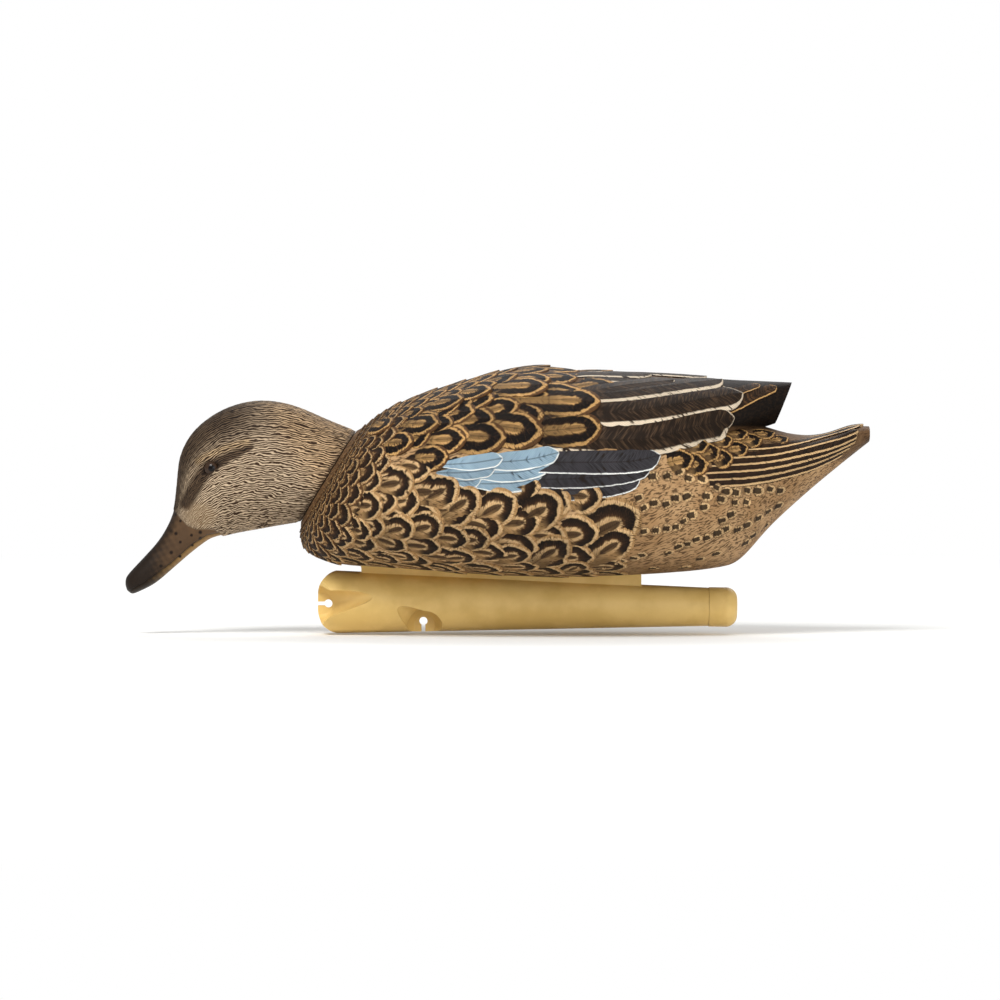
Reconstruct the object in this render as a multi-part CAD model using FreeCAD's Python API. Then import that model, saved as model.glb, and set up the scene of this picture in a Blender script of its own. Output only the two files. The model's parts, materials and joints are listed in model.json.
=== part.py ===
import FreeCAD, Part
import math
import os

from FreeCAD import Vector

# A floating duck decoy: a teal hen with her head stretched down to feed, on a ballasted keel.
# Millimetres. +Z is up, the bill points along -X, and Y = 0 is the plane of symmetry.
# X = 0 is half way from bill tip to tail tip, and Z = 0 is the underside of the keel.

OUT = "parts"

# ---------------------------------------------------------------- driving dimensions
BODY_WALL = 2.6                 # blow-moulded skin of the body
HEAD_WALL = 2.4
KEEL_WALL = 2.0
RIM_POINTS = 28                 # points round each lofted section
STEPS_BETWEEN = 3               # lofted sections for each station that is given

# The neck joint: a round seam whose normal is the swivel axis of the head.
NECK_CENTRE = Vector(-74.5, 0, 69.5)
NECK_RISE = 31.4                # degrees that the neck axis climbs, towards the bill
NECK_RADIUS = 24.0
NECK_GAP = 0.3                  # between the head and the body at the seam
SWIVEL_LIMIT = 35.0             # degrees each way
NECK_WALL = 5.0                 # thick front wall that carries the collar

COLLAR_RADIUS = 17.0
COLLAR_FLANGE_RADIUS = 20.0
COLLAR_FLANGE = 2.0
COLLAR_LENGTH = 12.0
SPIGOT_RADIUS = 9.0
RUNNING = 0.05                  # radial clearance of turning fits
SEAT = 0.05                     # radial clearance of fixed fits

LUG_INNER, LUG_OUTER = 12.2, 14.8
LUG_HALF_ANGLE = 6.0
LUG_DEPTH = 1.2

RING_RADIUS = 0.8               # cord of the two sealing rings
NECK_RING_AT = 6.0              # behind the seam

WASHER_RADIUS, WASHER_THICK = 13.0, 1.5
NECK_SCREW_RADIUS, NECK_SCREW_LENGTH = 2.0, 13.0
NECK_SCREW_HEAD_RADIUS, NECK_SCREW_HEAD = 4.5, 2.6

# The keel: a tapered tube hung on a web, with a flange that seats in a channel of the hull.
KEEL_FRONT, KEEL_REAR = -79.3, 106.8
KEEL_FRONT_Z, KEEL_REAR_Z = 14.0, 11.5
KEEL_FRONT_RADIUS, KEEL_REAR_RADIUS = 14.2, 8.1
KEEL_NOSE_RADIUS = 11.0
PINCH_WEB = 3.6                 # thickness left where the tube is pinched flat round a line hole
PINCH_RADIUS = 8.0              # of the dimple on each side
PINCH_SINK = 1.5                # how far past the flat web the dimple's sphere would reach
FADE_RADIUS = 0.5               # of the dimple's tail, where it fades into the tube
LINE_HOLE_RADIUS = 1.8
LINE_SLOT_WIDTH = 1.7
FRONT_HOLE = (-74.7, 13.2)
LOWER_HOLE = (-32.5, 5.4)
FRONT_DIMPLE, FRONT_FADE = (-77.5, 13.2), (-52.0, 15.5, 17.0)
LOWER_DIMPLE, LOWER_FADE = (-32.0, 3.4), (-46.0, 16.5, 13.0)

WEB_FRONT, WEB_REAR = -60.0, 64.2
WEB_THICK = 7.0
FLANGE_TOP, FLANGE_THICK = 32.0, 2.5
FLANGE_HALF_WIDTH = 12.5
CHANNEL_SLACK = 0.4

CAP_SEAM = 94.2                 # where the end cap meets the tube
CAP_SPIGOT = 13.0
CAP_BORE_RADIUS = 6.0

KEEL_SCREW_X = (-45.0, 5.0, 55.0)
KEEL_SCREW_Y = 8.6
KEEL_SCREW_RADIUS, KEEL_SCREW_LENGTH = 1.5, 11.0
KEEL_SCREW_HEAD_RADIUS = 2.9
BOSS_RADIUS, BOSS_HEIGHT = 4.0, 13.0

VENT_X, VENT_RADIUS, VENT_HEAD_RADIUS = 86.0, 3.5, 6.5
VENT_HEAD_THICK = 1.6
VENT_SEAT_Z = 30.4              # face that the plug's head pulls up against
VENT_BOSS_RADIUS, VENT_BOSS_TOP = 10.0, 34.0

EYE_CENTRE = (-125.6, 73.4)
EYE_RADIUS = 3.6
EYE_BULGE = 1.2

# ---------------------------------------------------------------- outlines
# Stations of the body skin: top x, top z, bottom x, bottom z, half width,
# height of the widest line as a share, roundness of the back and of the hull.
BODY_STATIONS = [
    (-57.0, 93.0, -86.6, 41.0, 33.5, 0.50, 2.0, 2.0),
    (-48.0, 99.5, -82.0, 34.2, 43.5, 0.48, 2.0, 2.1),
    (-36.0, 105.3, -68.0, 30.2, 53.0, 0.46, 2.0, 2.3),
    (-15.0, 112.0, -40.0, 28.4, 61.5, 0.44, 2.0, 2.5),
    (15.0, 119.3, 5.0, 25.3, 66.0, 0.42, 2.0, 2.6),
    (45.0, 115.0, 45.0, 25.2, 63.0, 0.41, 2.0, 2.6),
    (75.0, 105.5, 75.0, 26.6, 53.5, 0.42, 2.0, 2.6),
    (100.0, 97.0, 97.0, 28.8, 42.5, 0.48, 2.0, 2.4),
    (117.0, 92.6, 108.0, 32.6, 34.0, 0.55, 2.0, 2.2),
    (131.0, 88.6, 121.0, 47.0, 27.0, 0.66, 2.0, 2.0),
    (145.0, 88.2, 137.0, 61.8, 21.5, 0.74, 2.0, 1.9),
    (157.0, 91.6, 152.0, 74.4, 16.5, 0.74, 2.2, 2.0),
    (165.0, 91.9, 165.0, 84.8, 12.0, 0.55, 2.6, 2.4),
]
# The folded wings lie over the back and run out to a blunt point above the rump.
WING_STATIONS = [
    (5.0, 107.0, 5.0, 64.0, 44.0, 0.30, 2.0, 2.4),
    (32.0, 116.6, 32.0, 68.0, 55.0, 0.28, 2.0, 2.4),
    (55.0, 116.0, 55.0, 72.5, 55.0, 0.27, 2.0, 2.4),
    (78.0, 114.7, 78.0, 78.0, 45.0, 0.27, 2.0, 2.4),
    (100.0, 112.9, 98.0, 84.5, 31.0, 0.30, 2.0, 2.3),
    (118.0, 112.0, 113.0, 89.5, 18.5, 0.36, 2.1, 2.2),
    (131.0, 111.4, 123.5, 93.0, 8.0, 0.42, 2.3, 2.2),
]
# Stations from the neck to the tip of the bill.
HEAD_STATIONS = [
    (-75.0, 94.8, -97.0, 47.9, 23.0, 0.50, 2.0, 2.0),
    (-90.5, 101.3, -106.0, 46.2, 22.0, 0.50, 2.0, 2.0),
    (-106.0, 103.4, -114.0, 44.8, 21.5, 0.48, 2.0, 2.1),
    (-121.0, 99.6, -121.0, 43.2, 20.5, 0.46, 2.1, 2.2),
    (-133.5, 90.8, -126.5, 41.6, 18.0, 0.44, 2.1, 2.2),
    (-140.2, 79.5, -130.0, 39.4, 14.8, 0.42, 2.1, 2.2),
    (-141.9, 66.5, -133.0, 37.2, 11.4, 0.42, 2.2, 2.2),
    (-143.6, 54.0, -137.0, 34.0, 9.0, 0.42, 2.4, 2.2),
    (-149.2, 42.6, -143.0, 28.8, 8.4, 0.40, 2.5, 2.2),
    (-157.0, 33.6, -151.0, 22.0, 8.9, 0.36, 2.5, 2.2),
    (-162.8, 27.4, -158.0, 18.3, 8.2, 0.36, 2.4, 2.2),
    (-164.8, 24.4, -161.8, 17.0, 6.0, 0.40, 2.2, 2.0),
    (-165.0, 21.6, -163.8, 18.2, 3.0, 0.40, 2.2, 2.0),
]
HOLLOW_HEAD_STATIONS = 7        # the bill ahead of these is solid

# ---------------------------------------------------------------- helpers
UP = Vector(0, 0, 1)
SIDE = Vector(0, 1, 0)
RISE = math.radians(NECK_RISE)
NECK_AXIS = Vector(-math.cos(RISE), 0, math.sin(RISE))
NECK_UP = Vector(math.sin(RISE), 0, math.cos(RISE))


def save(name, shape):
    """Writes one named node, as its separate closed solids."""
    solids = shape.Solids
    if not solids or not all(s.isValid() and s.isClosed() for s in solids):
        raise ValueError(name + " is not a set of valid closed solids")
    made = solids[0] if len(solids) == 1 else Part.makeCompound(solids)
    made.exportStep(os.path.join(OUT, name + ".step"))


def rim(top, bottom, half_width, widest, crown, hull):
    """Points round a closed rounded oval, given by the two ends of its upright chord."""
    chord = top - bottom
    height = chord.Length
    up = chord / height
    points = []
    for i in range(RIM_POINTS):
        angle = 2 * math.pi * (i + 0.5) / RIM_POINTS - math.pi / 2
        c, s = math.cos(angle), math.sin(angle)
        power = 2.0 / (crown if s >= 0 else hull)
        reach = height * (1 - widest) if s >= 0 else height * widest
        y = math.copysign(half_width * abs(c) ** power, c)
        h = height * widest + math.copysign(reach * abs(s) ** power, s)
        points.append(bottom + up * h + SIDE * y)
    return points


def neck_station(along, radius):
    """A round station on the neck axis."""
    centre = NECK_CENTRE + NECK_AXIS * along
    top, bottom = centre + NECK_UP * radius, centre - NECK_UP * radius
    return (top.x, top.z, bottom.x, bottom.z, radius, 0.5, 2.0, 2.0)


def smooth_stations(stations):
    """Fills in stations between the given ones, along a smooth curve through each column."""
    dense = []
    for i in range(len(stations) - 1):
        before = stations[max(i - 1, 0)]
        here, there = stations[i], stations[i + 1]
        after = stations[min(i + 2, len(stations) - 1)]
        for step in range(STEPS_BETWEEN):
            t = step / STEPS_BETWEEN
            columns = zip(before, here, there, after)
            dense.append(tuple(between(t, *column) for column in columns))
    return dense + [stations[-1]]


def between(t, p, q, r, s):
    """A value a share t of the way from q to r, on the smooth curve that p and s lead into."""
    slope = r - p
    bend = 2 * p - 5 * q + 4 * r - s
    turn = 3 * q - p - 3 * r + s
    return q + 0.5 * (slope * t + bend * t ** 2 + turn * t ** 3)


def loft(stations, inset=0.0):
    """A closed solid whose side is one smooth surface over all the stations."""
    rows = []
    for station in smooth_stations(stations):
        top_x, top_z, bottom_x, bottom_z, half_width, widest, crown, hull = station
        top, bottom = Vector(top_x, 0, top_z), Vector(bottom_x, 0, bottom_z)
        up = (top - bottom).normalize() * inset
        rows.append(rim(top - up, bottom + up, half_width - inset, widest, crown, hull))
    spans = len(rows) - 3
    surface = Part.BSplineSurface()
    surface.buildFromPolesMultsKnots(
        rows,
        [4] + [1] * (spans - 1) + [4],
        [1] * (RIM_POINTS + 1),
        [float(i) for i in range(spans + 1)],
        [float(i) for i in range(RIM_POINTS + 1)],
        False,
        True,
        3,
        3,
    )
    side = surface.toShape()
    ends = [Part.Face(Part.Wire(surface.uIso(u).toShape())) for u in (0.0, float(spans))]
    shell = Part.makeShell([side] + ends)
    shell.sewShape()
    solid = Part.makeSolid(shell)
    if solid.Volume < 0:
        solid.reverse()
    return solid


def neck_rod(radius, start, end):
    """A round bar on the neck axis, between two distances ahead of the seam."""
    low, high = sorted((start, end))
    return Part.makeCylinder(radius, high - low, NECK_CENTRE + NECK_AXIS * low, NECK_AXIS)


def neck_sector(inner, outer, start, end, half_angle):
    """Part of a ring on the neck axis, centred on the crown of the neck."""
    ring = neck_rod(outer, start, end).cut(neck_rod(inner, start, end))
    low = min(start, end)
    reach = 3 * outer
    left, right = (
        NECK_UP * reach + SIDE * (side * reach * math.tan(math.radians(half_angle)))
        for side in (-1, 1)
    )
    base = NECK_CENTRE + NECK_AXIS * low
    corners = [base, base + left, base + right, base]
    wedge = Part.Face(Part.makePolygon(corners)).extrude(NECK_AXIS * abs(end - start))
    return ring.common(wedge)


def rod(radius, x, y, low, high):
    return Part.makeCylinder(radius, high - low, Vector(x, y, low), UP)


def block(x0, x1, half_width, z0, z1):
    return Part.makeBox(x1 - x0, 2 * half_width, z1 - z0, Vector(x0, -half_width, z0))


# ---------------------------------------------------------------- body
def body_outer():
    torso = loft([neck_station(0, NECK_RADIUS)] + BODY_STATIONS)
    return torso.fuse(loft(WING_STATIONS))


def body_inner():
    """The hollow, which stops short of the tail and the wing tips."""
    torso = loft([neck_station(-NECK_WALL, NECK_RADIUS)] + BODY_STATIONS[:-2], BODY_WALL)
    return torso.fuse(loft(WING_STATIONS[:-2], BODY_WALL))


def screw_places():
    return [(x, side * KEEL_SCREW_Y) for x in KEEL_SCREW_X for side in (-1, 1)]


def body_shell():
    outer = body_outer()
    lining = FLANGE_TOP + BODY_WALL
    slack = CHANNEL_SLACK
    stiffeners = [
        block(WEB_FRONT - BODY_WALL, WEB_REAR + BODY_WALL, FLANGE_HALF_WIDTH + BODY_WALL, 20, lining),
        rod(VENT_BOSS_RADIUS, VENT_X, 0, 20, VENT_BOSS_TOP),
    ]
    stiffeners += [
        rod(BOSS_RADIUS, x, y, 20, FLANGE_TOP + BOSS_HEIGHT) for x, y in screw_places()
    ]
    hollow = body_inner().cut(Part.makeCompound(stiffeners))
    shell = outer.cut(hollow)
    openings = [
        block(WEB_FRONT - slack, WEB_REAR + slack, FLANGE_HALF_WIDTH + slack, 10, FLANGE_TOP),
        rod(VENT_HEAD_RADIUS + slack, VENT_X, 0, 10, VENT_SEAT_Z),
        rod(VENT_RADIUS + SEAT, VENT_X, 0, 10, VENT_BOSS_TOP + 1),
        neck_rod(COLLAR_FLANGE_RADIUS + SEAT, 1, -COLLAR_FLANGE),
        neck_rod(COLLAR_RADIUS + SEAT, 1, -COLLAR_LENGTH - 8),
    ]
    openings += [
        rod(KEEL_SCREW_RADIUS + SEAT, x, y, FLANGE_TOP - 1, FLANGE_TOP + KEEL_SCREW_LENGTH)
        for x, y in screw_places()
    ]
    for opening in openings:
        shell = shell.cut(opening)
    return shell


def vent_plug():
    """Closes the hole the body was blown through, with a barb behind the wall."""
    head = rod(VENT_HEAD_RADIUS, VENT_X, 0, VENT_SEAT_Z - VENT_HEAD_THICK, VENT_SEAT_Z)
    stem = rod(VENT_RADIUS, VENT_X, 0, VENT_SEAT_Z, VENT_BOSS_TOP + 0.1)
    barb = Part.makeCone(
        VENT_RADIUS + 0.8, VENT_RADIUS - 0.8, 3, Vector(VENT_X, 0, VENT_BOSS_TOP + 0.1), UP
    )
    return head.fuse([stem, barb]).removeSplitter()


# ---------------------------------------------------------------- neck joint
def neck_collar():
    """The bush pressed into the body, with an arc groove that limits the swivel."""
    flange = neck_rod(COLLAR_FLANGE_RADIUS, 0, -COLLAR_FLANGE)
    barrel = neck_rod(COLLAR_RADIUS, 0, -COLLAR_LENGTH)
    groove = neck_sector(
        LUG_INNER - 0.3, LUG_OUTER + 0.3, 0, -LUG_DEPTH - 0.3, SWIVEL_LIMIT + LUG_HALF_ANGLE + 1
    )
    bore = neck_rod(SPIGOT_RADIUS + RUNNING, 1, -COLLAR_LENGTH - 1)
    return flange.fuse(barrel).removeSplitter().cut(groove).cut(bore)


def sealing_ring(centre, axis, groove_radius):
    return Part.makeTorus(groove_radius + RING_RADIUS, RING_RADIUS, centre, axis)


def neck_ring_groove_radius():
    return SPIGOT_RADIUS - 2 * RING_RADIUS


def neck_seal():
    centre = NECK_CENTRE - NECK_AXIS * NECK_RING_AT
    return sealing_ring(centre, NECK_AXIS, neck_ring_groove_radius())


def neck_washer():
    start = -COLLAR_LENGTH - 0.1
    disc = neck_rod(WASHER_RADIUS, start, start - WASHER_THICK)
    return disc.cut(neck_rod(NECK_SCREW_RADIUS + 0.1, start + 1, start - WASHER_THICK - 1))


def neck_screw():
    seat = -COLLAR_LENGTH - 0.1 - WASHER_THICK
    head = neck_rod(NECK_SCREW_HEAD_RADIUS, seat, seat - NECK_SCREW_HEAD)
    shank = neck_rod(NECK_SCREW_RADIUS, seat, seat + NECK_SCREW_LENGTH)
    low = seat - NECK_SCREW_HEAD
    cross = [
        Part.makeBox(5, 1, 1.6, Vector(-2.5, -0.5, 0)),
        Part.makeBox(1, 5, 1.6, Vector(-0.5, -2.5, 0)),
    ]
    turn = FreeCAD.Rotation(UP, NECK_AXIS)
    place = FreeCAD.Placement(NECK_CENTRE + NECK_AXIS * low, turn)
    screw = head.fuse(shank).removeSplitter()
    for slot in cross:
        slot.Placement = place
        screw = screw.cut(slot)
    return screw


# ---------------------------------------------------------------- head
def head_outer():
    return loft([neck_station(NECK_GAP, NECK_RADIUS - 0.4)] + HEAD_STATIONS)


def head_inner():
    return loft(
        [neck_station(NECK_WALL, NECK_RADIUS - 0.4)] + HEAD_STATIONS[1:HOLLOW_HEAD_STATIONS],
        HEAD_WALL,
    )


def eye_place(side, outer):
    """Centre of an eye on the cheek: the outermost point of the head there."""
    x, z = EYE_CENTRE
    line = Part.makeLine(Vector(x, 0, z), Vector(x, side * 60, z))
    edge = outer.common(line)
    return Vector(x, side * edge.BoundBox.YMax if side > 0 else edge.BoundBox.YMin, z)


def eye(side, outer):
    """A bead set so that only its cap stands out of the socket."""
    skin = eye_place(side, outer)
    return Part.makeSphere(EYE_RADIUS, skin - SIDE * (side * (EYE_RADIUS - EYE_BULGE)))


def head_shell(outer, eyes):
    shell = outer.cut(head_inner())
    spigot = neck_rod(SPIGOT_RADIUS, NECK_WALL, -COLLAR_LENGTH - 0.1)
    boss = neck_rod(SPIGOT_RADIUS, NECK_GAP, NECK_WALL + 4)
    lug = neck_sector(LUG_INNER, LUG_OUTER, NECK_GAP + 1, -LUG_DEPTH, LUG_HALF_ANGLE)
    shell = shell.fuse([spigot.fuse(boss).removeSplitter(), lug])
    pilot = neck_rod(NECK_SCREW_RADIUS + 0.03, -COLLAR_LENGTH - 2, 0.5)
    around = neck_ring_groove_radius()
    groove = neck_rod(
        SPIGOT_RADIUS + 1, -NECK_RING_AT - RING_RADIUS - 0.1, -NECK_RING_AT + RING_RADIUS + 0.1
    ).cut(neck_rod(around, -NECK_RING_AT - 2, -NECK_RING_AT + 2))
    for cutter in [pilot, groove] + eyes:
        shell = shell.cut(cutter)
    return shell


# ---------------------------------------------------------------- keel
def keel_centre_z(x):
    share = (x - KEEL_FRONT) / (KEEL_REAR - KEEL_FRONT)
    return KEEL_FRONT_Z + share * (KEEL_REAR_Z - KEEL_FRONT_Z)


def keel_radius(x):
    share = (x - KEEL_FRONT) / (KEEL_REAR - KEEL_FRONT)
    return KEEL_FRONT_RADIUS + share * (KEEL_REAR_RADIUS - KEEL_FRONT_RADIUS)


def keel_cone(x0, x1, inset=0.0):
    """The tapered round bar of the keel between two places along it."""
    start = Vector(x0, 0, keel_centre_z(x0))
    line = Vector(x1, 0, keel_centre_z(x1)) - start
    return Part.makeCone(
        keel_radius(x0) - inset, keel_radius(x1) - inset, line.Length, start, line
    )


def nose_blank(upright, inset=0.0):
    """A thick plate with the keel's two rounded front corners, seen from the side or from above."""
    front = KEEL_FRONT + inset
    length = KEEL_REAR + 20 - front
    reach = 3 * KEEL_FRONT_RADIUS
    half = keel_radius(front) - inset
    middle = keel_centre_z(front)
    if upright:
        plate = Part.makeBox(length, 2 * reach, 2 * half, Vector(front, -reach, middle - half))
    else:
        plate = Part.makeBox(length, 2 * half, 2 * reach, Vector(front, -half, middle - reach))
    corners = [
        e for e in plate.Edges
        if e.BoundBox.XMax < front + 1 and max(e.BoundBox.YLength, e.BoundBox.ZLength) > reach
    ]
    return plate.makeFillet(KEEL_NOSE_RADIUS - inset, corners)


def keel_bar(end, inset=0.0):
    """The plain tapered bar with its rounded nose."""
    bar = keel_cone(KEEL_FRONT, end, inset)
    return bar.common(nose_blank(True, inset)).common(nose_blank(False, inset))


def dimple(place, fade, grow=0.0):
    """What presses both sides of the tube in round a line hole, fading out along the tube."""
    x, z = place
    stand_off = PINCH_WEB / 2 + PINCH_RADIUS - PINCH_SINK
    cutters = []
    for side in (-1, 1):
        middle = Vector(x, side * stand_off, z)
        tail = Vector(fade[0], side * fade[1], fade[2]) - middle
        ball = Part.makeSphere(PINCH_RADIUS + grow, middle)
        cone = Part.makeCone(
            PINCH_RADIUS + grow, FADE_RADIUS + grow, tail.Length, middle, tail
        )
        cutters.append(ball.fuse(cone))
    return cutters


def dimples(grow=0.0):
    front = dimple(FRONT_DIMPLE, FRONT_FADE, grow)
    return front + dimple(LOWER_DIMPLE, LOWER_FADE, grow)


def keel_void(gap=0.0):
    """The chamber inside the keel, drawn in by a gap for the ballast."""
    inset = KEEL_WALL + gap
    end = CAP_SEAM - CAP_SPIGOT - 1
    bar = keel_bar(end - gap, inset)
    for cutter in dimples(inset):
        bar = bar.cut(cutter)
    return max(bar.Solids, key=lambda s: s.Volume)


def line_slot(hole, towards):
    """A keyhole through the keel: a round hole, and a narrow way in for the cord."""
    x, z = hole
    drill = Part.makeCylinder(LINE_HOLE_RADIUS, 80, Vector(x, -40, z), SIDE)
    half = LINE_SLOT_WIDTH / 2
    if towards == "front":
        way = Part.makeBox(30, 80, 2 * half, Vector(x - 30, -40, z - half))
    else:
        way = Part.makeBox(2 * half, 80, 30, Vector(x - half, -40, z - 30))
    return drill.fuse(way)


def keel_tube():
    bar = keel_bar(CAP_SEAM - 0.1)
    web = block(WEB_FRONT, WEB_REAR, WEB_THICK / 2, KEEL_REAR_Z, FLANGE_TOP - 0.5)
    flange = block(
        WEB_FRONT, WEB_REAR, FLANGE_HALF_WIDTH, FLANGE_TOP - FLANGE_THICK, FLANGE_TOP
    )
    keel = bar.fuse([web, flange]).removeSplitter()
    line_webs = block(KEEL_FRONT, LOWER_HOLE[0] + PINCH_RADIUS, PINCH_WEB / 2, -5, FLANGE_TOP)
    for cutter in dimples():
        keel = keel.cut(cutter.cut(line_webs))
    keel = keel.cut(keel_void())
    bore = Part.makeCylinder(
        CAP_BORE_RADIUS, CAP_SPIGOT + 3, cap_point(CAP_SEAM + 0.5), cap_axis() * -1
    )
    keel = keel.cut(bore)
    keel = keel.cut(line_slot(FRONT_HOLE, "front")).cut(line_slot(LOWER_HOLE, "down"))
    for x, y in screw_places():
        keel = keel.cut(screw_at(x, y, SEAT))
    return keel


def cap_axis():
    line = Vector(KEEL_REAR, 0, KEEL_REAR_Z) - Vector(KEEL_FRONT, 0, KEEL_FRONT_Z)
    return line.normalize()


def cap_point(x):
    return Vector(x, 0, keel_centre_z(x))


def cap_ring_groove_radius():
    return CAP_BORE_RADIUS - 2 * RING_RADIUS


def keel_end_cap():
    """The domed plug in the rear of the keel, with a sealing ring on its spigot."""
    axis = cap_axis()
    radius = keel_radius(CAP_SEAM) + 0.25
    length = KEEL_REAR - CAP_SEAM
    dome = Part.makeCylinder(radius, length, cap_point(CAP_SEAM), axis)
    end = [e for e in dome.Edges if e.BoundBox.XMin > KEEL_REAR - 1.5]
    dome = dome.makeFillet(5.0, end)
    spigot = Part.makeCylinder(
        CAP_BORE_RADIUS - SEAT, CAP_SPIGOT, cap_point(CAP_SEAM + 1), axis * -1
    )
    cap = dome.fuse(spigot).removeSplitter()
    at = cap_point(CAP_SEAM - CAP_SPIGOT / 2)
    width = 2 * RING_RADIUS + 0.2
    groove = Part.makeCylinder(CAP_BORE_RADIUS + 1, width, at - axis * (width / 2), axis)
    core = Part.makeCylinder(cap_ring_groove_radius(), width, at - axis * (width / 2), axis)
    return cap.cut(groove.cut(core))


def keel_cap_seal():
    at = cap_point(CAP_SEAM - CAP_SPIGOT / 2)
    return sealing_ring(at, cap_axis(), cap_ring_groove_radius())


def screw_at(x, y, gap=0.0):
    """A flat-head screw driven up through the flange, flush with its underside."""
    seat = FLANGE_TOP - FLANGE_THICK
    sink = KEEL_SCREW_HEAD_RADIUS - KEEL_SCREW_RADIUS
    head = Part.makeCone(
        KEEL_SCREW_HEAD_RADIUS + gap, KEEL_SCREW_RADIUS + gap, sink, Vector(x, y, seat), UP
    )
    shank = rod(KEEL_SCREW_RADIUS + gap, x, y, seat, seat + KEEL_SCREW_LENGTH)
    return head.fuse(shank).removeSplitter()


def keel_screws():
    screws = []
    for x, y in screw_places():
        seat = FLANGE_TOP - FLANGE_THICK
        screw = screw_at(x, y)
        for a, b in ((3.2, 0.7), (0.7, 3.2)):
            recess = Part.makeBox(a, b, 1.0, Vector(x - a / 2, y - b / 2, seat))
            screw = screw.cut(recess)
        screws.append(screw)
    return Part.makeCompound(screws)


# ---------------------------------------------------------------- everything
def build():
    os.makedirs(OUT, exist_ok=True)
    save("body_shell", body_shell())
    save("vent_plug", vent_plug())
    save("neck_collar", neck_collar())
    save("neck_seal", neck_seal())
    save("neck_washer", neck_washer())
    save("neck_screw", neck_screw())
    outer = head_outer()
    eyes = [eye(side, outer) for side in (-1, 1)]
    save("head_shell", head_shell(outer, eyes))
    save("eye_left", eyes[0])
    save("eye_right", eyes[1])
    save("keel_tube", keel_tube())
    save("keel_ballast", keel_void(0.15))
    save("keel_end_cap", keel_end_cap())
    save("keel_cap_seal", keel_cap_seal())
    save("keel_screws", keel_screws())


build()
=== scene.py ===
import json
import math
import random

import bpy
import numpy as np
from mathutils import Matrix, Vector
from mathutils.bvhtree import BVHTree
from numpy.linalg import norm


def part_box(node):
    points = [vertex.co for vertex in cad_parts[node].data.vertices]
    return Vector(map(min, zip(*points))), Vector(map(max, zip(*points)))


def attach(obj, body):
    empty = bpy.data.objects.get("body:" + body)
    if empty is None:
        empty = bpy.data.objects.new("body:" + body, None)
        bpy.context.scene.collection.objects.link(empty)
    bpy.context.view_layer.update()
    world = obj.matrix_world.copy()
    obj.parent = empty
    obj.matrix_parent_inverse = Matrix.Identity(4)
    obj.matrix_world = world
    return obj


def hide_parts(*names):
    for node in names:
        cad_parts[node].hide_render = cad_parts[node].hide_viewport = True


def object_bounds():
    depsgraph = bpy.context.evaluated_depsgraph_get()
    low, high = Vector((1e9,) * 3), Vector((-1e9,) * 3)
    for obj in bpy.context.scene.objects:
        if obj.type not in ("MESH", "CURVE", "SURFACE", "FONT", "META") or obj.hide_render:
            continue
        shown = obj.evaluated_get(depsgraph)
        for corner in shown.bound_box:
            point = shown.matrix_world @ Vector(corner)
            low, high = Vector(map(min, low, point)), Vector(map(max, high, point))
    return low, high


# The looks of a floating hen duck decoy: relief feathers laid over the moulded body, a finely
# carved head, glass-like eyes and a moulded keel. Lengths in this script are millimetres, and
# MM turns them into Blender's metres. The bill points along -X, and the left side faces -Y.

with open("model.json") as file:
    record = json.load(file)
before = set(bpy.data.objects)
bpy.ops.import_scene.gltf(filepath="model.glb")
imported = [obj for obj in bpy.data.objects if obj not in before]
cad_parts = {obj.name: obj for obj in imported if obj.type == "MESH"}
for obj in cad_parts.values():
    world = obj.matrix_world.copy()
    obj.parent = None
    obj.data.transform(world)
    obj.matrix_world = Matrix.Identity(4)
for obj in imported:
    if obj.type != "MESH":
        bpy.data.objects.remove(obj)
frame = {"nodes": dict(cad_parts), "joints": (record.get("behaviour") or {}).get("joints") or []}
CAD_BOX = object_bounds()
NODES = frame["nodes"]
MM = 0.001
FULL_TURN = 2 * math.pi
SEAM_HEIGHT, SEAM_SLOPE = 69.5, 0.61  # the neck seam's middle, and its run along X per unit up
JOINT = frame["joints"][0]
NECK_CENTRE = Vector(JOINT["pos_m"]) / MM
NECK_AXIS = Vector(JOINT["axis"]).normalized()
NECK_LEAN = math.atan2(NECK_AXIS.z, -NECK_AXIS.x)
RNG = random.Random(7)


# ---- small helpers
def smooth(t):
    t = max(0.0, min(1.0, t))
    return t * t * (3 - 2 * t)


def ramp(x, low, high):
    """0 below low, 1 above high, smooth between; works on numpy arrays."""
    t = np.clip((x - low) / (high - low), 0.0, 1.0)
    return t * t * (3 - 2 * t)


def lerp_table(x, table):
    """Value at x on straight lines between (x, value) pairs."""
    return float(np.interp(x, [p[0] for p in table], [p[1] for p in table]))


def srgb(r, g, b):
    """An 8-bit display colour as Blender's linear colour."""
    def linear(c):
        c = c / 255
        return c / 12.92 if c <= 0.04045 else ((c + 0.055) / 1.055) ** 2.4
    return (linear(r), linear(g), linear(b), 1.0)


def skin_tree(node):
    """A search tree of a CAD node's surface, in millimetres."""
    mesh = NODES[node].data
    points = [v.co / MM for v in mesh.vertices]
    return BVHTree.FromPolygons(points, [tuple(p.vertices) for p in mesh.polygons])


BODY = skin_tree("body_shell")
HEAD = skin_tree("head_shell")


def new_object(name, data):
    made = bpy.data.objects.new(name, data)
    bpy.context.scene.collection.objects.link(made)
    return made


def mesh_object(name, points, faces):
    """A new object from points in millimetres."""
    mesh = bpy.data.meshes.new(name)
    mesh.from_pydata([tuple(c * MM for c in p) for p in points], [], faces)
    mesh.update()
    return new_object(name, mesh)


def point_values(mesh, name, values):
    """Stores one number at each point of a mesh, for its material to read."""
    layer = mesh.attributes.new(name, "FLOAT", "POINT")
    layer.data.foreach_set("value", np.array(values, np.float32))


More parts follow.
